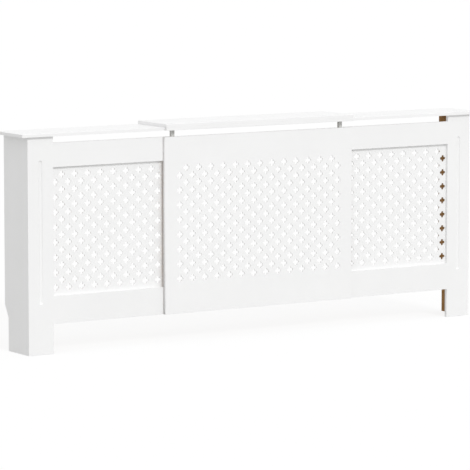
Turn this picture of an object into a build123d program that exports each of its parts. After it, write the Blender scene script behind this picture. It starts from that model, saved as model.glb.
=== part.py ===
"""Extending radiator cover in painted board.

Two end units, mirror images of each other, slide in behind a centre cover.
The cover is drawn pulled out to its full width, in millimetres: X runs along
its length from the middle, Y from front to wall, Z up from the floor.
"""

import os

from build123d import *

os.makedirs("parts", exist_ok=True)

# ---- Driving sizes ---------------------------------------------------------

# Boards
FRONT_THICK = 12.0
SIDE_THICK = 18.0
TOP_THICK = 12.0
LIP_THICK = 12.0

# Lengths along the wall
CENTRE_LENGTH = 844.0
LEG_WIDTH = 106.0
WINDOW_WIDTH = 480.0
STILE_WIDTH = 40.0
OVERLAP = 51.0  # end board behind the centre board, fully extended
STOP_LENGTH = 210.0  # between the end boards, fully slid in
SIDE_OVERHANG = 28.0  # top board past the side panel
TOP_REACH = 14.0  # top board past the inner end of its front board

# Heights
LEG_HEIGHT = 800.0
FLOOR_GAP = 111.0
VENT_GAP = 24.5
BOTTOM_RAIL = 102.0
TOP_RAIL = 89.0

# Depths
END_DEPTH = 179.0  # face of an end unit to the wall

# Lattice
LATTICE_THICK = 4.0
LATTICE_LAP = 12.0  # panel behind the window's edge, all round
HOLE_SIZE = 26.4  # across the corners
PITCH_X = 54.8
PITCH_Z = 55.4
CENTRE_BORDER = 52.0
ROW_MARGIN = 13.0
FIELD_SHIFT = 6.0  # lattice's hole field nearer the leg than the stile

# Flute down each leg, cut with a ball-nosed cutter
FLUTE_RADIUS = 9.0
FLUTE_DEPTH = 5.0
FLUTE_OVERRUN = 27.0  # past the window's top and bottom

# Skirting cut-out in the side panels
NOTCH_DEPTH = 26.0
NOTCH_HEIGHT = 126.0
NOTCH_SLOPE = 46.0

# Softened edges
EDGE_RADIUS = 1.5

# Battens and blocks behind the boards
BATTEN = 20.0
BATTEN_CHAMFER = 4.0
BATTEN_CLEAR = 12.0  # batten's ends short of the rails' edges
CLEAT_LENGTH = 110.0
POST_WIDTH = 15.0
GUIDE_THICK = 12.0
GUIDE_SETBACK = 6.0  # guide's ends short of the centre board's ends
GUIDE_MARGIN = 12.0  # guide short of the rail's outer edge
GUIDE_LEAD = 3.0
PAD_WIDTH = 30.0
PAD_HEIGHT = 24.0
PAD_INSET = 10.0

# Wall brackets
PLATE = 2.0
BRACKET_HEIGHT = 45.0
BRACKET_REACH = 36.0
BRACKET_HEAD_GAP = 52.0  # bracket's top below the side panel's top
WALL_HOLE_RADIUS = 2.5
PANEL_HOLE_RADIUS = 1.75
BRACKET_HOLE_SPACING = 25.0

# Clearances
SLIDE_GAP = 2.0  # centre board to end board
TOP_GAP = 0.5  # centre top board over the end top boards
LIP_GAP = 1.5  # end top boards behind the lip
GUIDE_GAP = 0.4  # guide battens and pads to what they guide

# ---- Places worked out from them -------------------------------------------

end_length = LEG_WIDTH + WINDOW_WIDTH + STILE_WIDTH
half_front = CENTRE_LENGTH / 2 + end_length - OVERLAP
total_depth = LIP_THICK + FRONT_THICK + SLIDE_GAP + END_DEPTH

wall = total_depth / 2
end_face = wall - END_DEPTH
end_back = end_face + FRONT_THICK
centre_back = end_face - SLIDE_GAP
centre_face = centre_back - FRONT_THICK
lip_face = centre_face - LIP_THICK

side_outer = -half_front
side_inner = side_outer + SIDE_THICK
leg_inner = side_outer + LEG_WIDTH
leg_middle = side_outer + LEG_WIDTH / 2
end_inner = side_outer + end_length
window_middle = leg_inner + WINDOW_WIDTH / 2

rail_head = LEG_HEIGHT - VENT_GAP
window_bottom = FLOOR_GAP + BOTTOM_RAIL
window_top = rail_head - TOP_RAIL
window_height = window_top - window_bottom
window_centre = (window_top + window_bottom) / 2
rail_centres = {
    "upper": (window_top + rail_head) / 2,
    "lower": (FLOOR_GAP + window_bottom) / 2,
}

centre_underside = LEG_HEIGHT + TOP_THICK + TOP_GAP

pieces = {}


def facing(y):
    """A plane at depth y that looks out of the front, with X across and Z up."""
    return Plane.XZ.offset(-y)


def columns_within(width):
    """The odd number of staggered hole columns that fit a width."""
    steps = int((width - HOLE_SIZE) // (PITCH_X / 2))
    return steps + 1 - steps % 2


def pierce(columns):
    """Cuts staggered columns of holes, square and set on their corners."""
    side = HOLE_SIZE / 2**0.5
    field = window_height - 2 * ROW_MARGIN - HOLE_SIZE - PITCH_Z / 2
    rows = int(field // PITCH_Z) + 1
    for level, count in ((-1, columns // 2 + 1), (1, columns // 2)):
        with Locations((0, level * PITCH_Z / 4)):
            with GridLocations(PITCH_X, PITCH_Z, count, rows):
                Rectangle(side, side, rotation=45, mode=Mode.SUBTRACT)


# ---- Left end unit ---------------------------------------------------------

# Front board: leg, rails and stile in one piece round the window
with BuildPart() as front_frame:
    with BuildSketch(facing(end_back)):
        with BuildLine():
            Polyline(
                (side_outer, 0),
                (leg_inner, 0),
                (leg_inner, FLOOR_GAP),
                (end_inner, FLOOR_GAP),
                (end_inner, rail_head),
                (leg_inner, rail_head),
                (leg_inner, LEG_HEIGHT),
                (side_outer, LEG_HEIGHT),
                close=True,
            )
        make_face()
        with Locations((window_middle, window_centre)):
            Rectangle(WINDOW_WIDTH, window_height, mode=Mode.SUBTRACT)
    extrude(amount=FRONT_THICK)
    flute_axis = end_face + FLUTE_DEPTH - FLUTE_RADIUS
    flute_reach = (FLUTE_RADIUS**2 - (FLUTE_RADIUS - FLUTE_DEPTH) ** 2) ** 0.5
    flute_half = window_height / 2 + FLUTE_OVERRUN - flute_reach
    with Locations((leg_middle, flute_axis, window_centre)):
        Cylinder(FLUTE_RADIUS, 2 * flute_half, mode=Mode.SUBTRACT)
    for z in (window_centre - flute_half, window_centre + flute_half):
        with Locations((leg_middle, flute_axis, z)):
            Sphere(FLUTE_RADIUS, mode=Mode.SUBTRACT)
pieces["front_frame"] = front_frame

# Thin pierced panel behind the window
lattice_back = end_back + LATTICE_THICK
with BuildPart() as lattice:
    with BuildSketch(facing(lattice_back)):
        with Locations((window_middle, window_centre)):
            Rectangle(WINDOW_WIDTH + 2 * LATTICE_LAP, window_height + 2 * LATTICE_LAP)
        with Locations((window_middle - FIELD_SHIFT, window_centre)):
            pierce(columns_within(WINDOW_WIDTH - 2 * FIELD_SHIFT))
    extrude(amount=LATTICE_THICK)
pieces["lattice"] = lattice

# Side panel, cut away at its foot to clear the skirting
with BuildPart() as side_panel:
    with BuildSketch(Plane.YZ.offset(side_outer)):
        with BuildLine():
            Polyline(
                (end_back, 0),
                (wall - NOTCH_DEPTH, 0),
                (wall - NOTCH_DEPTH, NOTCH_HEIGHT),
                (wall, NOTCH_HEIGHT + NOTCH_SLOPE),
                (wall, LEG_HEIGHT),
                (end_back, LEG_HEIGHT),
                close=True,
            )
        make_face()
    extrude(amount=SIDE_THICK)
pieces["side_panel"] = side_panel

# Top board on the leg, the side panel and the post
with BuildPart() as top_board:
    top_left = side_outer - SIDE_OVERHANG
    top_right = end_inner + TOP_REACH
    top_front = lip_face + LIP_THICK + LIP_GAP
    with BuildSketch(Plane.XY.offset(LEG_HEIGHT)):
        with Locations(((top_left + top_right) / 2, (top_front + wall) / 2)):
            Rectangle(top_right - top_left, wall - top_front)
    extrude(amount=TOP_THICK)
    upper_edges = top_board.edges().group_by(Axis.Z)[-1]
    fillet(
        upper_edges.sort_by(Axis.Y)[:1] + upper_edges.sort_by(Axis.X)[:1],
        radius=EDGE_RADIUS,
    )
pieces["top_board"] = top_board

# Post that carries the top board at the inner end of the rail
with BuildPart() as support_post:
    with BuildSketch(Plane.XY.offset(rail_head)):
        with Locations((end_inner - POST_WIDTH / 2, (end_face + end_back) / 2)):
            Rectangle(POST_WIDTH, FRONT_THICK)
    extrude(amount=VENT_GAP)
    fillet(support_post.edges().filter_by(Axis.Z), radius=EDGE_RADIUS)
pieces["support_post"] = support_post

# Batten that joins the leg to the side panel
with BuildPart() as corner_batten:
    batten_foot = FLOOR_GAP + BATTEN_CLEAR
    with BuildSketch(Plane.XY.offset(batten_foot)):
        with Locations((side_inner + BATTEN / 2, end_back + BATTEN / 2)):
            Rectangle(BATTEN, BATTEN)
    extrude(amount=rail_head - BATTEN_CLEAR - batten_foot)
    free_edge = corner_batten.edges().filter_by(Axis.Z).sort_by(Axis((0, 0, 0), (1, 1, 0)))[-1]
    chamfer(free_edge, length=BATTEN_CHAMFER)
pieces["corner_batten"] = corner_batten

# Cleat that joins the side panel to the top board
with BuildPart() as top_cleat:
    with BuildSketch(facing(end_back + BATTEN + CLEAT_LENGTH)):
        with Locations((side_inner + BATTEN / 2, LEG_HEIGHT - BATTEN / 2)):
            Rectangle(BATTEN, BATTEN)
    extrude(amount=CLEAT_LENGTH)
    free_edge = top_cleat.edges().filter_by(Axis.Y).sort_by(Axis((0, 0, 0), (1, 0, -1)))[-1]
    chamfer(free_edge, length=BATTEN_CHAMFER)
pieces["top_cleat"] = top_cleat

# Felt pads that run on the back of the centre board
pad_middle = end_inner - PAD_INSET - PAD_WIDTH / 2
for level, rail_centre in rail_centres.items():
    with BuildPart() as slide_pad:
        with BuildSketch(facing(end_face)):
            with Locations((pad_middle, rail_centre)):
                Rectangle(PAD_WIDTH, PAD_HEIGHT)
        extrude(amount=SLIDE_GAP - GUIDE_GAP)
    pieces[f"{level}_slide_pad"] = slide_pad

# Angle plate that fixes the side panel to the wall
bracket_top = LEG_HEIGHT - BRACKET_HEAD_GAP
bracket_middle = bracket_top - BRACKET_HEIGHT / 2
flange_middle = (PLATE + BRACKET_REACH) / 2
with BuildPart() as wall_bracket:
    with BuildSketch(Plane.XY.offset(bracket_top - BRACKET_HEIGHT)):
        with BuildLine():
            Polyline(
                (side_inner, wall - BRACKET_REACH),
                (side_inner, wall),
                (side_inner + BRACKET_REACH, wall),
                (side_inner + BRACKET_REACH, wall - PLATE),
                (side_inner + PLATE, wall - PLATE),
                (side_inner + PLATE, wall - BRACKET_REACH),
                close=True,
            )
        make_face()
    extrude(amount=BRACKET_HEIGHT)
    with BuildSketch(facing(wall)):
        with Locations((side_inner + flange_middle, bracket_middle)):
            with GridLocations(0, BRACKET_HOLE_SPACING, 1, 2):
                Circle(WALL_HOLE_RADIUS)
    extrude(amount=PLATE, mode=Mode.SUBTRACT)
    with BuildSketch(Plane.YZ.offset(side_inner)):
        with Locations((wall - flange_middle, bracket_middle)):
            with GridLocations(0, BRACKET_HOLE_SPACING, 1, 2):
                Circle(PANEL_HOLE_RADIUS)
    extrude(amount=PLATE, mode=Mode.SUBTRACT)
pieces["wall_bracket"] = wall_bracket

for name, piece in pieces.items():
    piece.part.label = f"left_{name}"
    export_step(piece.part, f"parts/left_{name}.step")
    with BuildPart() as right_piece:
        mirror(piece.part, about=Plane.YZ)
    right_piece.part.label = f"right_{name}"
    export_step(right_piece.part, f"parts/right_{name}.step")

# ---- Centre cover ----------------------------------------------------------

# Front board, thinned behind the field of holes cut through it
with BuildPart() as centre_front_board:
    with BuildSketch(facing(centre_back)):
        with Locations((0, (FLOOR_GAP + rail_head) / 2)):
            Rectangle(CENTRE_LENGTH, rail_head - FLOOR_GAP)
        with Locations((0, window_centre)):
            pierce(columns_within(CENTRE_LENGTH - 2 * CENTRE_BORDER))
    extrude(amount=FRONT_THICK)
    with BuildSketch(facing(centre_back)):
        with Locations((0, window_centre)):
            Rectangle(CENTRE_LENGTH - 2 * CENTRE_BORDER + 2 * LATTICE_LAP, window_height)
    extrude(amount=FRONT_THICK - LATTICE_THICK, mode=Mode.SUBTRACT)
centre_front_board.part.label = "centre_front_board"
export_step(centre_front_board.part, "parts/centre_front_board.step")

# Top board that the end top boards slide under
with BuildPart() as centre_top_board:
    with BuildSketch(Plane.XY.offset(centre_underside)):
        Rectangle(CENTRE_LENGTH, total_depth)
    extrude(amount=TOP_THICK)
    upper_edges = centre_top_board.edges().group_by(Axis.Z)[-1]
    fillet(
        upper_edges.sort_by(Axis.Y)[:1]
        + upper_edges.sort_by(Axis.X)[:1]
        + upper_edges.sort_by(Axis.X)[-1:],
        radius=EDGE_RADIUS,
    )
centre_top_board.part.label = "centre_top_board"
export_step(centre_top_board.part, "parts/centre_top_board.step")

# Lip under its front edge
with BuildPart() as centre_top_lip:
    with BuildSketch(facing(lip_face + LIP_THICK)):
        with Locations((0, (LEG_HEIGHT + centre_underside) / 2)):
            Rectangle(CENTRE_LENGTH, centre_underside - LEG_HEIGHT)
    extrude(amount=LIP_THICK)
centre_top_lip.part.label = "centre_top_lip"
export_step(centre_top_lip.part, "parts/centre_top_lip.step")

# Guide battens that trap the end boards and run along the lattices' edges
guide_half = CENTRE_LENGTH / 2 - GUIDE_SETBACK
guide_front = end_back + GUIDE_GAP
guide_spans = {
    "upper": (window_top + LATTICE_LAP + GUIDE_GAP, rail_head - GUIDE_MARGIN),
    "lower": (FLOOR_GAP + GUIDE_MARGIN, window_bottom - LATTICE_LAP - GUIDE_GAP),
}
for level, (foot, head) in guide_spans.items():
    with BuildPart() as guide_batten:
        with BuildSketch(facing(guide_front + GUIDE_THICK)):
            with Locations((0, (foot + head) / 2)):
                Rectangle(2 * guide_half, head - foot)
        extrude(amount=GUIDE_THICK)
        uprights = guide_batten.edges().filter_by(Axis.Z)
        chamfer(uprights.group_by(Axis.Y)[0], length=GUIDE_LEAD)
    guide_batten.part.label = f"{level}_guide_batten"
    export_step(guide_batten.part, f"parts/{level}_guide_batten.step")

    # Block that spaces the batten off the board and stops the end units
    with BuildPart() as stop_block:
        with BuildSketch(facing(guide_front)):
            with Locations((0, (foot + head) / 2)):
                Rectangle(STOP_LENGTH, head - foot)
        extrude(amount=guide_front - centre_back)
    stop_block.part.label = f"{level}_stop_block"
    export_step(stop_block.part, f"parts/{level}_stop_block.step")
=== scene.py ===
# %% [markdown]
# # A radiator cover that pulls out to length
#
# The cover is three units of white-painted fibreboard. A pierced centre board
# with a raised shelf hides the inner ends of two mirrored end units, and each
# end unit slides in behind it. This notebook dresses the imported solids: it
# gives every board its paint, swaps the simple diamond holes for the real
# four-lobed ones, sets back two edges that hide behind the centre board, adds
# the screws, and sets up light and camera.

import math

import bmesh
import bpy
from mathutils import Matrix, Vector


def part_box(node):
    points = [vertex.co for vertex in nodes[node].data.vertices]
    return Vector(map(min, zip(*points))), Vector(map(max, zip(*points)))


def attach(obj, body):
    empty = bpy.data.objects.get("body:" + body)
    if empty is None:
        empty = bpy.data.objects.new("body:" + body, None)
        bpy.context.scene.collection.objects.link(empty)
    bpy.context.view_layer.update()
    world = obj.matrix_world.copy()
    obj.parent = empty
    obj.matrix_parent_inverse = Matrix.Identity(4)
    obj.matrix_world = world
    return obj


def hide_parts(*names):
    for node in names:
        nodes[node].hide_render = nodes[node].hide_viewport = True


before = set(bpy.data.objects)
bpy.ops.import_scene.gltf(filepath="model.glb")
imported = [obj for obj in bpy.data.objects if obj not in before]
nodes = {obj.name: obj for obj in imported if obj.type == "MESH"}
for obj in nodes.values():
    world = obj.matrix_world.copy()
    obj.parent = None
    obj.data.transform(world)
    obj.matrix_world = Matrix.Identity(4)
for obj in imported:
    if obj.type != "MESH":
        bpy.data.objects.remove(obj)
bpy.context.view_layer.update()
MM = 0.001  # one millimetre in metres, the frame's unit
SIDES = {"left": -1, "right": 1}  # which way each end unit lies along x

# %% [markdown]
# ## Helpers for materials
#
# Paint charts and photographs give colours as sRGB hex values, but a shader
# works with linear light, so one function turns the first into the second.
# Every pattern is written with its real size in millimetres: the solids' own
# coordinates are metres, so a noise texture whose grain is d millimetres wide
# needs a scale of 1000 / d.


# %% Colour and scale
def srgb(code):
    """A linear RGBA colour from an sRGB hex code."""
    channels = [int(code[i : i + 2], 16) / 255 for i in (1, 3, 5)]
    return [c / 12.92 if c <= 0.04045 else ((c + 0.055) / 1.055) ** 2.4 for c in channels] + [1]


def per_mm(size):
    """The texture scale at which one grain of a pattern is this many millimetres."""
    return 1 / (size * MM)


print("paint white is", [round(c, 3) for c in srgb("#F4F4F4")[:3]], "in linear light")
print("one 2 mm grain is a scale of", per_mm(2))

# %% [markdown]
# One more helper adds a node, sets it up and plugs it in. A node could be
# built in three or four lines each time, but then the numbers that matter
# drown in calls. Noise seldom leaves the band from 0.3 to 0.7, so stretching
# that band to the full range gives each pattern its whole contrast. A Mix node
# has sockets for every kind of value under the same names, so its sockets are
# picked by number, and the numbers get names here.

# %% Nodes
NOISE, STRETCH = "ShaderNodeTexNoise", "ShaderNodeMapRange"
MIX, MATHS = "ShaderNodeMix", "ShaderNodeMath"
BUMP, PRINCIPLED = "ShaderNodeBump", "ShaderNodeBsdfPrincipled"
MATERIAL_OUTPUT = "ShaderNodeOutputMaterial"
NOISE_BAND = {"From Min": 0.3, "From Max": 0.7}
SHARE = 0  # a Mix node's input that says how much of the second value comes in
FIRST_VALUE, SECOND_VALUE = 2, 3
FIRST_COLOUR, SECOND_COLOUR, MIXED_COLOUR = 6, 7, 2


def add_node(tree, kind, inputs, **settings):
    """A node with its settings; an input is a value, or the node or socket that feeds it."""
    made = tree.nodes.new(kind)
    for name, value in settings.items():
        setattr(made, name, value)
    for socket, value in inputs.items():
        if isinstance(value, bpy.types.Node):
            value = value.outputs[0]
        if isinstance(value, bpy.types.NodeSocket):
            tree.links.new(value, made.inputs[socket])
        else:
            made.inputs[socket].default_value = value
    return made


def new_material(name):
    """An empty material, its node tree, and the solid's own coordinates for patterns."""
    material = bpy.data.materials.new(name)
    material.use_nodes = True
    material.node_tree.nodes.clear()
    place = add_node(material.node_tree, "ShaderNodeTexCoord", {}).outputs["Object"]
    return material, material.node_tree, place


print("noise from", *NOISE_BAND.values(), "is stretched to run from 0 to 1")

# %% [markdown]
# ## Bare fibreboard
#
# Medium-density fibreboard is wood ground to fibres and pressed with resin. A
# bare face is warm brown with short pale and dark flecks a millimetre or two
# long, over slow clouds where the resin lies thicker, and it is quite matt. A
# picture of real board would show its repeats on a batten a metre long. Noise
# never repeats, so two sizes of it are laid over each other. The loose fibre
# ends are a tenth of a millimetre thick, which no view would show, so the grit
# is drawn at 0.6 mm and its bump kept tiny.

# %% Bare fibreboard
FLECK = 1.4
PRESS_CLOUD = 45.0
GRIT = 0.6


def bare_colour(tree, place):
    """Brown pressed fibres: flecks over slow clouds of resin."""
    fleck = {"Vector": place, "Scale": per_mm(FLECK), "Detail": 4.0, "Roughness": 0.7}
    flecks = add_node(tree, STRETCH, {"Value": add_node(tree, NOISE, fleck), **NOISE_BAND})
    cloud = {"Vector": place, "Scale": per_mm(PRESS_CLOUD)}
    clouds = add_node(tree, STRETCH, {"Value": add_node(tree, NOISE, cloud), **NOISE_BAND})
    browns = []
    for dark, pale in (("#956F41", "#BD915B"), ("#86653B", "#AC8250")):
        shades = {SHARE: flecks, FIRST_COLOUR: srgb(dark), SECOND_COLOUR: srgb(pale)}
        browns.append(add_node(tree, MIX, shades, data_type="RGBA").outputs[MIXED_COLOUR])
    fibres, resin = browns
    board = {SHARE: clouds, FIRST_COLOUR: fibres, SECOND_COLOUR: resin}
    return add_node(tree, MIX, board, data_type="RGBA").outputs[MIXED_COLOUR]


def bare_fibreboard():
    """Unpainted board, for the battens, cleats and blocks inside."""
    material, tree, place = new_material("bare fibreboard")
    grit = add_node(tree, NOISE, {"Vector": place, "Scale": per_mm(GRIT), "Detail": 3.0})
    matt = {"Value": grit, **NOISE_BAND, "To Min": 0.78, "To Max": 0.92}
    surface = {
        "Base Color": bare_colour(tree, place),
        "Roughness": add_node(tree, STRETCH, matt),
        "Normal": add_node(
            tree, BUMP, {"Height": grit, "Strength": 0.35, "Distance": 0.15 * MM}
        ),
    }
    add_node(tree, MATERIAL_OUTPUT, {"Surface": add_node(tree, PRINCIPLED, surface)})
    return material


bare_board = bare_fibreboard()
print(bare_board.name, "with", len(bare_board.node_tree.nodes), "nodes")

# %% [markdown]
# ## White satin lacquer
#
# The outside is sprayed with white satin lacquer. Spray leaves a faint stipple
# about 2 mm across, much too shallow to see as relief but enough to break up
# the sheen, and the coat is a touch thicker here and there. Makers leave the
# inner face of each board bare, and the photograph shows that brown face
# behind the right-hand end. Two materials could be laid on chosen faces, but
# the choice would be lost whenever a board is cut anew. So one material covers
# a board, and the way a surface faces says whether it is painted.

# %% Painted fibreboard
SPRAY_STIPPLE = 2.0
SPRAY_CLOUD = 160.0
SQUARE_ON = 0.95  # how nearly a face has to look along the bare side; 1 is exactly
BARE_ROUGHNESS = 0.85


def painted_fibreboard(name, bare_side=None):
    """White satin lacquer; the face that looks along bare_side stays brown."""
    material, tree, place = new_material(name)
    cloud = {"Vector": place, "Scale": per_mm(SPRAY_CLOUD)}
    clouds = add_node(tree, STRETCH, {"Value": add_node(tree, NOISE, cloud), **NOISE_BAND})
    coat = {SHARE: clouds, FIRST_COLOUR: srgb("#F4F4F4"), SECOND_COLOUR: srgb("#F6F6F6")}
    colour = add_node(tree, MIX, coat, data_type="RGBA").outputs[MIXED_COLOUR]
    drops = {"Vector": place, "Scale": per_mm(SPRAY_STIPPLE), "Detail": 1.0}
    stipple = add_node(tree, NOISE, drops)
    satin = {"Value": stipple, **NOISE_BAND, "To Min": 0.40, "To Max": 0.48}
    roughness = add_node(tree, STRETCH, satin)
    if bare_side is not None:
        looks = add_node(tree, "ShaderNodeNewGeometry", {}).outputs["True Normal"]
        along = add_node(
            tree, "ShaderNodeVectorMath", {0: looks, 1: bare_side}, operation="DOT_PRODUCT"
        )
        test = {0: along.outputs["Value"], 1: SQUARE_ON}
        bare = add_node(tree, MATHS, test, operation="GREATER_THAN")
        faces = {SHARE: bare, FIRST_COLOUR: colour, SECOND_COLOUR: bare_colour(tree, place)}
        colour = add_node(tree, MIX, faces, data_type="RGBA").outputs[MIXED_COLOUR]
        faces = {SHARE: bare, FIRST_VALUE: roughness, SECOND_VALUE: BARE_ROUGHNESS}
        roughness = add_node(tree, MIX, faces)
    bump = add_node(tree, BUMP, {"Height": stipple, "Strength": 0.12, "Distance": 0.06 * MM})
    surface = {"Base Color": colour, "Roughness": roughness, "Normal": bump}
    add_node(tree, MATERIAL_OUTPUT, {"Surface": add_node(tree, PRINCIPLED, surface)})
    return material


lacquer = painted_fibreboard("white satin lacquer")
lacquer_front = painted_fibreboard("white satin lacquer, bare back", (0, 1, 0))
lacquer_side = {
    side: painted_fibreboard(f"white satin lacquer, bare {side} inside", (-x, 0, 0))
    for side, x in SIDES.items()
}
print("board materials:", [m.name for m in bpy.data.materials])

# %% [markdown]
# ## Moulded grey ABS
#
# The two small posts under the shelf are moulded from mid-grey ABS. The mould
# is spark-eroded, which leaves an even matt grain. Real displacement would
# need thousands of faces for it, so a bump carries it. The real grain is about
# a tenth of a millimetre, too fine for any view, so it is drawn at half a
# millimetre.

# %% Post plastic
MOULD_GRAIN = 0.5


def moulded_abs():
    """Matt grey plastic with a fine eroded grain."""
    material, tree, place = new_material("moulded grey ABS")
    pits = {"Vector": place, "Scale": per_mm(MOULD_GRAIN), "Detail": 1.0}
    grain = add_node(tree, NOISE, pits)
    greys = {SHARE: grain, FIRST_COLOUR: srgb("#D0D0CD"), SECOND_COLOUR: srgb("#D8D8D5")}
    matt = {"Value": grain, **NOISE_BAND, "To Min": 0.50, "To Max": 0.60}
    surface = {
        "Base Color": add_node(tree, MIX, greys, data_type="RGBA").outputs[MIXED_COLOUR],
        "Roughness": add_node(tree, STRETCH, matt),
        "IOR": 1.53,
        "Normal": add_node(
            tree, BUMP, {"Height": grain, "Strength": 0.25, "Distance": 0.05 * MM}
        ),
    }
    add_node(tree, MATERIAL_OUTPUT, {"Surface": add_node(tree, PRINCIPLED, surface)})
    return material


grey_abs = moulded_abs()
print(grey_abs.name, "grain", MOULD_GRAIN, "mm")

# %% [markdown]
# ## Pressed wool felt
#
# The slide pads are pressed felt: soft and dull, with fibre ends that stand up
# and catch light at the edge. Hair particles could draw each fibre, yet the
# pads hide between two boards, so a bump and a little sheen do. Wool fibres
# are a few hundredths of a millimetre thick and lie in tufts, and the tufts
# are what is drawn, at 0.7 mm.

# %% Pad felt
FELT_TUFT = 0.7


def pressed_felt():
    """Off-white felt with a fuzzy face."""
    material, tree, place = new_material("pressed wool felt")
    tuft = {"Vector": place, "Scale": per_mm(FELT_TUFT), "Detail": 5.0, "Roughness": 0.75}
    tufts = add_node(tree, NOISE, tuft)
    shades = add_node(tree, STRETCH, {"Value": tufts, **NOISE_BAND})
    wool = {SHARE: shades, FIRST_COLOUR: srgb("#BEBAB0"), SECOND_COLOUR: srgb("#DEDBD2")}
    surface = {
        "Base Color": add_node(tree, MIX, wool, data_type="RGBA").outputs[MIXED_COLOUR],
        "Roughness": 0.95,
        "Sheen Weight": 0.3,
        "Normal": add_node(tree, BUMP, {"Height": tufts, "Strength": 0.6, "Distance": 0.3 * MM}),
    }
    add_node(tree, MATERIAL_OUTPUT, {"Surface": add_node(tree, PRINCIPLED, surface)})
    return material


felt = pressed_felt()
print(felt.name, "tufts", FELT_TUFT, "mm")

# %% [markdown]
# ## Zinc-plated steel
#
# Angle plates and screws are plated steel. Electroplated zinc is a cool grey
# metal whose shine drifts a little over patches some millimetres wide. The
# patches could be painted as colour alone, but on metal it is mostly the
# roughness that shows, so one noise drives both.

# %% Plate and screw steel
PLATING_CLOUD = 6.0


def zinc_plate():
    """Cool grey metal with a slightly cloudy shine."""
    material, tree, place = new_material("zinc-plated steel")
    patch = {"Vector": place, "Scale": per_mm(PLATING_CLOUD), "Detail": 3.0}
    patches = add_node(tree, NOISE, patch)
    shades = add_node(tree, STRETCH, {"Value": patches, **NOISE_BAND})
    greys = {SHARE: shades, FIRST_COLOUR: srgb("#B4B8BA"), SECOND_COLOUR: srgb("#C6C9C9")}
    shine = {"Value": patches, **NOISE_BAND, "To Min": 0.30, "To Max": 0.42}
    surface = {
        "Base Color": add_node(tree, MIX, greys, data_type="RGBA").outputs[MIXED_COLOUR],
        "Metallic": 1.0,
        "Roughness": add_node(tree, STRETCH, shine),
    }
    add_node(tree, MATERIAL_OUTPUT, {"Surface": add_node(tree, PRINCIPLED, surface)})
    return material


zinc = zinc_plate()
print(zinc.name, "clouds", PLATING_CLOUD, "mm")

# %% [markdown]
# ## Give each solid its finish, and ease its edges
#
# No board has a knife edge: sanding before the spray rounds it by a little
# under a millimetre, and that narrow rounding is what draws a fine light line
# along every real edge. It could be built into the solids, at the price of
# many faces that no joint needs, so a bevel modifier adds it here. The
# imported solids have split corners, so a weld modifier joins them first.
# Small parts are rounded by less than the boards.

# %% Materials and eased edges
FINISHES = {
    "centre_top_board": lacquer,
    "centre_top_lip": lacquer,
    "upper_guide_batten": bare_board,
    "lower_guide_batten": bare_board,
    "upper_stop_block": bare_board,
    "lower_stop_block": bare_board,
}
for side in SIDES:
    FINISHES |= {
        f"{side}_side_panel": lacquer_side[side],
        f"{side}_top_board": lacquer,
        f"{side}_support_post": grey_abs,
        f"{side}_corner_batten": bare_board,
        f"{side}_top_cleat": bare_board,
        f"{side}_upper_slide_pad": felt,
        f"{side}_lower_slide_pad": felt,
        f"{side}_wall_bracket": zinc,
    }
SAME_CORNER = 0.01
BOARD_EASE = 0.7
SMALL_EASE = 0.3
SHARP_TURN = 50  # degrees; the facets of a round turn by less and stay as they are


def ease_edges(piece, width):
    """Welds the split corners and rounds every sharp edge by this many millimetres."""
    weld = piece.modifiers.new("join corners", "WELD")
    weld.merge_threshold = SAME_CORNER * MM
    bevel = piece.modifiers.new("eased edges", "BEVEL")
    bevel.width = width * MM
    bevel.segments = 2
    bevel.limit_method = "ANGLE"
    bevel.angle_limit = math.radians(SHARP_TURN)


for name, material in FINISHES.items():
    piece = nodes[name]
    piece.data.materials.clear()
    piece.data.materials.append(material)
    ease_edges(piece, SMALL_EASE if material in (zinc, felt, grey_abs) else BOARD_EASE)
print("finished solids:", len(FINISHES))

# %% [markdown]
# ## One flower
#
# The holes are the part of this cover that people remember: a routed
# four-lobed flower, staggered like brickwork. The solids carry plain squares
# on their corners, as wide as the flowers. A round cutter plunges four times
# round the middle, so the outline is four arcs that meet in sharp notches. It
# could be four discs joined by booleans, but the notch is one short sum away,
# and points on the arcs are exact and cheap.

# %% Draw one flower
LOBE_CENTRE = 7.5
LOBE_RADIUS = 5.7
LOBE_STEPS = 9


def flower():
    """Outline of one hole in millimetres: four lobes that meet in sharp notches."""
    c, r = LOBE_CENTRE, LOBE_RADIUS
    notch = (c + math.sqrt(2 * r * r - c * c)) / 2
    sweep = math.atan2(notch, notch - c)
    points = []
    for lobe in range(4):
        turn = lobe * math.pi / 2
        along, across = math.cos(turn), math.sin(turn)
        for step in range(LOBE_STEPS):
            angle = -sweep + 2 * sweep * step / LOBE_STEPS
            x, z = c + r * math.cos(angle), r * math.sin(angle)
            points.append((x * along - z * across, x * across + z * along))
    return points


outline = flower()
print("flower:", len(outline), "points,", round(max(x for x, z in outline) * 2, 1), "mm across")

# %% [markdown]
# Each field of flowers has an odd number of columns. Every other column is
# lifted by half a pitch, and the low columns stand at both ends. On the end
# lattices the field stands 6 mm nearer the leg than the middle of the sheet.

# %% Lay out the flowers
PITCH_X = 54.8
PITCH_Z = 55.4
ROWS = 8
WINDOW_COLUMNS = 17
CENTRE_COLUMNS = 27
FIELD_SHIFT = 6.0


def flower_centres(middle_x, middle_z, columns):
    """Centres of all flowers of a field, in millimetres."""
    centres = []
    for column in range(columns):
        lift = PITCH_Z / 4 if column % 2 else -PITCH_Z / 4
        x = middle_x + (column - (columns - 1) / 2) * PITCH_X / 2
        for row in range(ROWS):
            centres.append((x, middle_z + lift + (row - (ROWS - 1) / 2) * PITCH_Z))
    return centres


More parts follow.
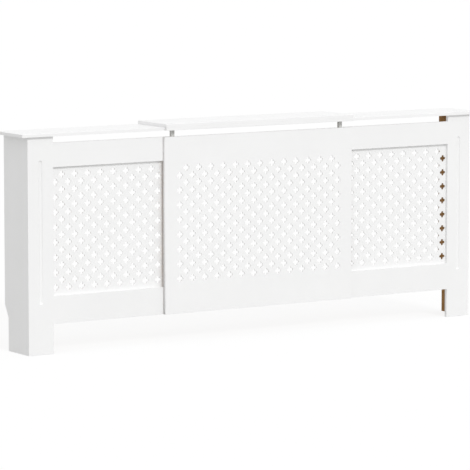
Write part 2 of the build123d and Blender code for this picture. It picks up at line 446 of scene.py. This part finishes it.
window_z = sum(corner.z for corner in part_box("left_lattice")) / 2 / MM
fields = {"centre": flower_centres(0, window_z, CENTRE_COLUMNS)}
for side, x in SIDES.items():
    window_x = sum(corner.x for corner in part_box(f"{side}_lattice")) / 2 / MM
    fields[side] = flower_centres(window_x + x * FIELD_SHIFT, window_z, WINDOW_COLUMNS)
print("flowers:", {name: len(centres) for name, centres in fields.items()})

# %% [markdown]
# ## The pierced boards
#
# A flat curve draws the board's outline and one closed spline for each flower.
# A 2D curve fills the outline and leaves each inner spline open, and its
# extrusion gives the thickness and the holes' walls, which is far quicker than
# hundreds of boolean cuts. The curve's own bevel eases every edge, and the
# curve's offset pulls the outline back by as much, so the board keeps its size.

# %% Draw a board full of holes
LATTICE_RIM = 0.2


def closed_spline(curve, points):
    """Adds one closed outline, given in millimetres, to a flat curve."""
    spline = curve.splines.new("POLY")
    spline.points.add(len(points) - 1)
    for point, (x, z) in zip(spline.points, points):
        point.co = (x * MM, z * MM, 0, 1)
    spline.use_cyclic_u = True


def pierced_sheet(node, centres, rim):
    """A solid's board with flowers in it, its edges eased by this many millimetres."""
    low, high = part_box(node)
    curve = bpy.data.curves.new("sheet", "CURVE")
    curve.dimensions = "2D"
    curve.fill_mode = "BOTH"
    left, right = low.x / MM, high.x / MM
    bottom, top = low.z / MM, high.z / MM
    closed_spline(curve, [(left, bottom), (right, bottom), (right, top), (left, top)])
    for x, z in centres:
        closed_spline(curve, [(x + dx, z + dz) for dx, dz in outline])
    curve.extrude = (high.y - low.y) / 2 - rim * MM
    curve.bevel_depth = rim * MM
    curve.bevel_resolution = 1
    curve.offset = -rim * MM
    drawn = bpy.data.objects.new("drawing", curve)
    mesh = bpy.data.meshes.new_from_object(drawn)
    upright = Matrix.Rotation(math.pi / 2, 4, "X")
    mesh.transform(Matrix.Translation((0, (low.y + high.y) / 2, 0)) @ upright)
    bpy.data.objects.remove(drawn)
    bpy.data.curves.remove(curve)
    return mesh


sheets = {side: pierced_sheet(f"{side}_lattice", fields[side], LATTICE_RIM) for side in SIDES}
print("end lattices:", {side: len(mesh.polygons) for side, mesh in sheets.items()}, "faces")

# %% [markdown]
# The centre board and the front frames need one more cut each, and a box does
# for all of them. A boolean modifier makes the cut: its Manifold solver is fast
# and leaves a closed mesh. It wants a closed mesh to start with, so split
# corners are joined first.

# %% Cut a box out of a board
JOINED = 0.001
PAST_FACE = 1.0  # how far a cutter stands out of the face that it enters by


def cut_box(mesh, low, high):
    """The mesh with the box between two corners, in millimetres, cut out of it."""
    joined = bmesh.new()
    joined.from_mesh(mesh)
    bmesh.ops.remove_doubles(joined, verts=joined.verts, dist=JOINED * MM)
    joined.to_mesh(mesh)
    joined.free()
    size, middle = Vector(high) - Vector(low), (Vector(high) + Vector(low)) / 2
    place = Matrix.Translation(middle * MM) @ Matrix.Diagonal((*(size * MM), 1))
    cutter = bmesh.new()
    bmesh.ops.create_cube(cutter, size=1, matrix=place)
    cutter_mesh = bpy.data.meshes.new("cutter")
    cutter.to_mesh(cutter_mesh)
    cutter.free()
    board, box = (bpy.data.objects.new("cut", m) for m in (mesh, cutter_mesh))
    for piece in (board, box):
        bpy.context.scene.collection.objects.link(piece)
    cut = board.modifiers.new("cut", "BOOLEAN")
    cut.object = box
    cut.solver = "MANIFOLD"
    graph = bpy.context.evaluated_depsgraph_get()
    result = bpy.data.meshes.new_from_object(board.evaluated_get(graph))
    for piece in (board, box):
        bpy.data.objects.remove(piece)
    return result


print("a cutter stands", PAST_FACE, "mm out of the board")

# %% [markdown]
# The end lattices are 4 mm sheet. The centre board is 12 mm at its border and
# routed out from behind to the same 4 mm where it is pierced, or its holes
# would look half closed from the side. The pocket is as tall as the windows.

# %% Rout out the centre board
BOARD_RIM = 0.4
FIELD_THICK = 4.0
POCKET_BORDER = 40.0
WINDOW_HEIGHT = 473.5
window_low, window_high = window_z - WINDOW_HEIGHT / 2, window_z + WINDOW_HEIGHT / 2
low, high = (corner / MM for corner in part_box("centre_front_board"))
sheets["centre"] = cut_box(
    pierced_sheet("centre_front_board", fields["centre"], BOARD_RIM),
    (low.x + POCKET_BORDER, low.y + FIELD_THICK, window_low),
    (high.x - POCKET_BORDER, high.y + PAST_FACE, window_high),
)
print("centre board:", len(sheets["centre"].polygons), "faces")

# %% [markdown]
# ## Front frames
#
# Each end unit's front is one board: leg, rails and stile round the window.
# Behind the centre board its stile would darken the last column of holes, and
# in the photograph that column is as clear as the others. So the stile's inner
# edge is set back between the rails. The frame could be drawn anew, but its
# flute is right already, so a copy of the solid gets that one cut. The cut
# leaves long slivers in the flat faces, and the bevel would draw them as
# creases, so faces that lie in one plane are joined again. Only the curved
# flute is then shaded smooth.

# %% Set the stiles back
STILE_RELIEF = 15.0
SAME_PLANE = 1  # degrees
FLAT = 0.999  # how nearly a flat face looks along an axis; 1 is exactly


def set_back_frame(side, x):
    """The mesh of one side's front frame with its stile's inner edge cut back."""
    node = f"{side}_front_frame"
    low, high = (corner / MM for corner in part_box(node))
    inner = low.x if x > 0 else high.x
    start, end = sorted((inner - x * PAST_FACE, inner + x * STILE_RELIEF))
    mesh = cut_box(
        nodes[node].data.copy(),
        (start, low.y - PAST_FACE, window_low),
        (end, high.y + PAST_FACE, window_high),
    )
    flats = bmesh.new()
    flats.from_mesh(mesh)
    bmesh.ops.dissolve_degenerate(flats, dist=SAME_CORNER * MM, edges=flats.edges)
    bmesh.ops.dissolve_limit(
        flats, angle_limit=math.radians(SAME_PLANE), verts=flats.verts, edges=flats.edges
    )
    flats.to_mesh(mesh)
    flats.free()
    for face in mesh.polygons:
        face.use_smooth = max(abs(share) for share in face.normal) < FLAT
    return mesh


frames = {side: set_back_frame(side, x) for side, x in SIDES.items()}
print("front frames:", {side: len(mesh.polygons) for side, mesh in frames.items()}, "faces")

# %% [markdown]
# Each new mesh takes the place of its solid: it rides on the solid's body, is
# painted in front and bare behind, and the solid itself is hidden. A curve has
# eased the pierced boards already, so only the frames still get the bevel.


# %% Put the new boards in place
def stand_in(name, mesh, node, body):
    """A board, painted in front, that takes the place of a solid."""
    mesh.name = name
    mesh.materials.clear()
    mesh.materials.append(lacquer_front)
    board = bpy.data.objects.new(name, mesh)
    bpy.context.scene.collection.objects.link(board)
    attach(board, body)
    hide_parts(node)
    print(name, "stands for", node)
    return board


for side in SIDES:
    stand_in(f"{side}_flower_lattice", sheets[side], f"{side}_lattice", f"{side}_end")
stand_in("centre_flower_board", sheets["centre"], "centre_front_board", "centre")
for side in SIDES:
    window_frame = stand_in(
        f"{side}_window_frame", frames[side], f"{side}_front_frame", f"{side}_end"
    )
    ease_edges(window_frame, BOARD_EASE)

# %% [markdown]
# ## Screws
#
# The lattices, the guide battens and the angle plates are held with small
# pan-head screws. A head is a low dome with a cross recess. It could be a
# turned profile with a cross cut by a boolean. Here its mesh is a disc of
# rings whose heights follow the dome and drop inside the cross, so the recess
# is real geometry and needs no cut.

# %% Shape of a screw head
HEAD_RADIUS = 3.6
HEAD_HEIGHT = 2.0
RIM_SHARE = 0.5  # the part of the height that is left at the rim
CROSS_HALF_WIDTH = 0.55
CROSS_REACH = 2.2
CROSS_DEPTH = 1.3


def head_height(x, y):
    """Height of the head over its seat at a point, in millimetres."""
    reach = math.hypot(x, y)
    dome = HEAD_HEIGHT * math.sqrt(1 - (reach / HEAD_RADIUS) ** 2 * (1 - RIM_SHARE**2))
    in_cross = min(abs(x), abs(y)) < CROSS_HALF_WIDTH and reach < CROSS_REACH
    return dome - CROSS_DEPTH if in_cross else dome


print("head height at its rim:", round(head_height(HEAD_RADIUS, 0), 2), "mm")

# %% [markdown]
# The rings run outward from one point in the middle, and a last ring on the
# seat closes the head's side and its underside.

# %% Build screw heads
RING_STEPS = 9
SPOKES = 48
HEAD_CREASE = 35  # degrees; a sharper turn keeps its edge when the head is shaded smooth


def add_head(mesh, seat, outward):
    """One head on its seat, its dome looking along the outward direction."""
    stand = Vector(outward).to_track_quat("Z", "Y").to_matrix()

    def ring(reach, height, spokes=SPOKES):
        """Points round the head's middle, each as high as its place asks for."""
        made = []
        for spoke in range(spokes):
            angle = 2 * math.pi * spoke / SPOKES
            x, y = reach * math.cos(angle), reach * math.sin(angle)
            made.append(mesh.verts.new(seat + stand @ Vector((x, y, height(x, y))) * MM))
        return made

    rings = [ring(0, head_height, 1)]
    for step in range(1, RING_STEPS + 1):
        rings.append(ring(HEAD_RADIUS * step / RING_STEPS, head_height))
    rings.append(ring(HEAD_RADIUS, lambda x, y: 0))
    for inner, outer in zip(rings, rings[1:]):
        for s in range(SPOKES):
            t = (s + 1) % SPOKES
            if len(inner) == 1:
                mesh.faces.new((inner[0], outer[s], outer[t]))
            else:
                mesh.faces.new((inner[s], outer[s], outer[t], inner[t]))
    mesh.faces.new(list(reversed(rings[-1])))


def screws(name, seats, outward, body):
    """One piece with a screw head at each seat, given in millimetres."""
    shape = bmesh.new()
    for seat in seats:
        add_head(shape, Vector(seat) * MM, outward)
    mesh = bpy.data.meshes.new(name)
    shape.to_mesh(mesh)
    shape.free()
    mesh.materials.append(zinc)
    mesh.shade_smooth()
    mesh.set_sharp_from_angle(angle=math.radians(HEAD_CREASE))
    piece = bpy.data.objects.new(name, mesh)
    bpy.context.scene.collection.objects.link(piece)
    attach(piece, body)
    print(name, "has", len(seats), "heads")


print("one head has", (RING_STEPS + 1) * SPOKES + 1, "faces")

# %% [markdown]
# Six screws hold each lattice, in its lap behind the window's edge. Two hold
# each angle plate to the side panel, and two hold each guide batten to its
# stop block.

# %% Set the screws
LATTICE_SCREW_PITCH = 225.0
LATTICE_SCREW_INSET = 6.0
PLATE_SCREW_SPACING = 25.0
PLATE = 2.0
GUIDE_SCREW_PITCH = 75.0
for side, x in SIDES.items():
    low, high = (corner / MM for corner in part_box(f"{side}_lattice"))
    middle = (low.x + high.x) / 2
    seats = [
        (middle + step * LATTICE_SCREW_PITCH, high.y, z)
        for z in (low.z + LATTICE_SCREW_INSET, high.z - LATTICE_SCREW_INSET)
        for step in (-1, 0, 1)
    ]
    screws(f"{side}_lattice_screws", seats, (0, 1, 0), f"{side}_end")
    low, high = (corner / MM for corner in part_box(f"{side}_wall_bracket"))
    reach = (high.y - low.y + PLATE) / 2
    face = (low.x if x < 0 else high.x) - x * PLATE
    middle = (low.z + high.z) / 2
    seats = [(face, high.y - reach, middle + k * PLATE_SCREW_SPACING / 2) for k in (-1, 1)]
    screws(f"{side}_plate_screws", seats, (-x, 0, 0), f"{side}_end")
for level in ("upper", "lower"):
    low, high = (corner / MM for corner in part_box(f"{level}_guide_batten"))
    middle = (low.z + high.z) / 2
    seats = [(k * GUIDE_SCREW_PITCH, high.y, middle) for k in (-1, 1)]
    screws(f"{level}_guide_screws", seats, (0, 1, 0), "centre")

# %% [markdown]
# ## Floor
#
# A pale floor runs far past the picture on every side. A catalogue picture
# shows it as plain white, yet a truly white floor would throw so much light up
# that the boards lose their shape. So the floor is a quiet grey for the light
# it passes on, and where the camera meets it, directly or in a shiny face, it
# is mostly plain white and the rest keeps the cover's shadow. The same test
# makes the sky plain white to the eye.

# %% What the camera meets
FLOOR_TONE = "#C3C3C2"
SHADOW_SHARE = 0.15


def seen_directly(tree):
    """1 where the camera looks straight, in a shiny face or through glass; else 0."""
    path = add_node(tree, "ShaderNodeLightPath", {})
    seen = path.outputs["Is Camera Ray"]
    for ray in ("Is Glossy Ray", "Is Transmission Ray"):
        either = {0: seen, 1: path.outputs[ray]}
        seen = add_node(tree, MATHS, either, operation="MAXIMUM").outputs[0]
    return seen


floor_material = bpy.data.materials.new("pale floor")
floor_material.use_nodes = True
tree = floor_material.node_tree
tree.nodes.clear()
seen = seen_directly(tree)
tones = {SHARE: seen, FIRST_COLOUR: srgb(FLOOR_TONE), SECOND_COLOUR: srgb("#FFFFFF")}
tone = add_node(tree, MIX, tones, data_type="RGBA").outputs[MIXED_COLOUR]
matt = add_node(tree, "ShaderNodeBsdfDiffuse", {"Color": tone})
white = add_node(tree, "ShaderNodeEmission", {"Color": (1, 1, 1, 1), "Strength": 1.0})
share = add_node(tree, MATHS, {0: seen, 1: 1 - SHADOW_SHARE}, operation="MULTIPLY")
mixed = add_node(tree, "ShaderNodeMixShader", {0: share, 1: matt, 2: white})
add_node(tree, MATERIAL_OUTPUT, {"Surface": mixed})
print(floor_material.name, "passes on", round(srgb(FLOOR_TONE)[0], 2), "of the light")

# %% [markdown]
# The floor itself is one flat face. It lies a hair under the feet, so that no
# two faces share a plane.

# %% Lay the floor
FLOOR_REACH = 90
FLOOR_DROP = 0.2
sheet = bmesh.new()
bmesh.ops.create_grid(sheet, x_segments=1, y_segments=1, size=FLOOR_REACH)
floor_mesh = bpy.data.meshes.new("floor")
sheet.to_mesh(floor_mesh)
sheet.free()
floor_mesh.materials.append(floor_material)
floor = bpy.data.objects.new("floor", floor_mesh)
floor.location.z = -FLOOR_DROP * MM
bpy.context.scene.collection.objects.link(floor)
print("floor reaches", FLOOR_REACH, "m each way")

# %% [markdown]
# ## Light
#
# The light is an even white sky, which fills every shadow, and one soft lamp
# in front of the cover. The photograph shows how the lamp stood: the shelf's
# 12 mm edge throws a narrow, fairly crisp shadow about 7 mm tall on the
# boards, so the lamp is low, and the left end gets none of it, so it stands
# square to the front. Tops then show the sky, fronts the sky and the lamp, and
# the left end the sky alone. A lamp close by would light one leg more than the
# other, so a sun is used, whose rays run side by side. A sun of strength pi on
# a white face turned to it gives plain white, so its strength is written as a
# share of that, as the sky's is.

# %% World and lamp
SKY = 0.82
world = bpy.data.worlds.new("even sky")
bpy.context.scene.world = world
world.use_nodes = True
tree = world.node_tree
tree.nodes.clear()
level = add_node(tree, STRETCH, {"Value": seen_directly(tree), "To Min": SKY, "To Max": 1.0})
sky = add_node(tree, "ShaderNodeBackground", {"Color": (1, 1, 1, 1), "Strength": level})
add_node(tree, "ShaderNodeOutputWorld", {"Surface": sky})

LAMP = 0.355
LAMP_SPREAD = 12  # degrees across, which softens the shadow's edge
TO_LAMP = (-0.03, -1, 0.68)
lamp_data = bpy.data.lights.new("soft lamp", "SUN")
lamp_data.energy = LAMP * math.pi
lamp_data.angle = math.radians(LAMP_SPREAD)
lamp = bpy.data.objects.new("soft lamp", lamp_data)
lamp.rotation_mode = "QUATERNION"
lamp.rotation_quaternion = Vector(TO_LAMP).to_track_quat("Z", "Y")
bpy.context.scene.collection.objects.link(lamp)
print("sky", SKY, "lamp", LAMP)

# %% [markdown]
# ## Camera
#
# The camera stands where the photograph was taken from: in front of the left
# end, about a metre above the shelf and twelve metres away, with a long lens.
# Its place comes from matching the boards' edges to the picture. A shifted
# lens would hold every upright edge exactly upright, but the shift would move
# all other views too, so the camera is tilted down a little instead.

# %% Camera
LENS = 249.4
SENSOR = 36
EYE = (-6.7229, -10.3487, 1.8079)
TILT_DOWN = 0.1156
TURN_RIGHT = 0.5724
FARTHEST = 300
camera_data = bpy.data.cameras.new("camera")
camera_data.sensor_width = SENSOR
camera_data.lens = LENS
camera_data.clip_end = FARTHEST
camera = bpy.data.objects.new("camera", camera_data)
camera.location = EYE
camera.rotation_euler = (math.pi / 2 - TILT_DOWN, 0, -TURN_RIGHT)
bpy.context.scene.collection.objects.link(camera)
bpy.context.scene.camera = camera
bpy.context.scene.view_settings.view_transform = "Standard"
print("camera at", EYE, "m with a lens of", LENS, "mm")
